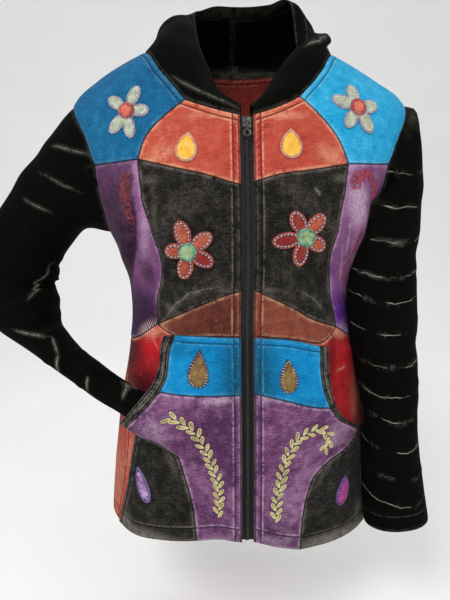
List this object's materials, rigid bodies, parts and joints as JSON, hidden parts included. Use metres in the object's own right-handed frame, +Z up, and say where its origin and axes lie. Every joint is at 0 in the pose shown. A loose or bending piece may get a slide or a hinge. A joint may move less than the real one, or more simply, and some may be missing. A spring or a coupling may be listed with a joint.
{
  "type": "patchwork zip hoodie",
  "caption": "Hollow patchwork zip-front hoodie with long sleeves, kangaroo pocket, felt flowers and a hood worn down, one hand opening filled by its own cuff.",
  "frame": {"origin": "midway between the two neck points, where the shoulder seams meet the neckline", "axes": "+Z up, -Y the way the wearer faces, +X to the wearer's left"},
  "size_m": [0.6006, 0.298, 0.7065],
  "materials": {
    "blue_jersey": "matte cotton jersey, overdyed and stonewashed",
    "rust_jersey": "matte cotton jersey, stonewashed, paler at the seams",
    "charcoal_jersey": "matte cotton jersey, acid-washed and mottled",
    "purple_jersey": "matte cotton jersey, stonewashed",
    "red_jersey": "matte cotton jersey, tie-dyed with cream and dark patches",
    "black_jersey": "matte cotton jersey with thin white dye streaks",
    "felt_pale": "fuzzy felt, mottled",
    "felt_coral": "fuzzy felt, mottled",
    "felt_mint": "fuzzy felt, mottled",
    "felt_yellow": "fuzzy felt, mottled",
    "felt_brown": "fuzzy felt, mottled",
    "felt_purple": "fuzzy felt, mottled",
    "zip_tape": "woven black tape",
    "zip_teeth": "satin black moulded teeth",
    "zip_metal": "gunmetal, worn at the edges"
  },
  "bodies": {
    "garment": {"back": "rust_jersey", "shoulder_right": "blue_jersey", "shoulder_left": "blue_jersey", "yoke_right": "rust_jersey", "yoke_left": "rust_jersey", "chest_right": "charcoal_jersey", "chest_left": "charcoal_jersey", "side_strip_right": "purple_jersey", "side_strip_left": "purple_jersey", "waist_right": "rust_jersey", "waist_left": "rust_jersey", "front_lower_right": "red_jersey", "front_lower_left": "red_jersey", "pocket_band_right": "blue_jersey", "pocket_band_left": "blue_jersey", "pocket_right": "purple_jersey", "pocket_left": "purple_jersey", "pocket_corner_right": "charcoal_jersey", "pocket_corner_left": "charcoal_jersey", "pocket_binding_right": "charcoal_jersey", "pocket_binding_left": "charcoal_jersey", "sleeve_right": "black_jersey", "sleeve_left": "black_jersey", "hood_right": "black_jersey", "hood_left": "black_jersey", "zip_tape_right": "zip_tape", "zip_tape_left": "zip_tape", "zip_chain": "zip_teeth", "zip_slider": "zip_metal", "flower_1": "felt_pale", "flower_2": "felt_pale", "flower_3": "felt_coral", "flower_4": "felt_coral", "flower_heart_1": "felt_coral", "flower_heart_2": "felt_coral", "flower_heart_3": "felt_mint", "flower_heart_4": "felt_mint", "teardrop_1": "felt_yellow", "teardrop_2": "felt_yellow", "teardrop_3": "felt_brown", "teardrop_4": "felt_brown", "teardrop_5": "felt_purple", "teardrop_6": "felt_purple"},
    "pull": {"zip_pull": "zip_metal"}
  },
  "joints": [
    {"name": "pull_hinge", "type": "hinge", "parent": "garment", "child": "pull", "pos_m": [0, -0.11076, -0.10398], "axis": [-1, 0, 0], "range_deg": [0, 120]}
  ]
}
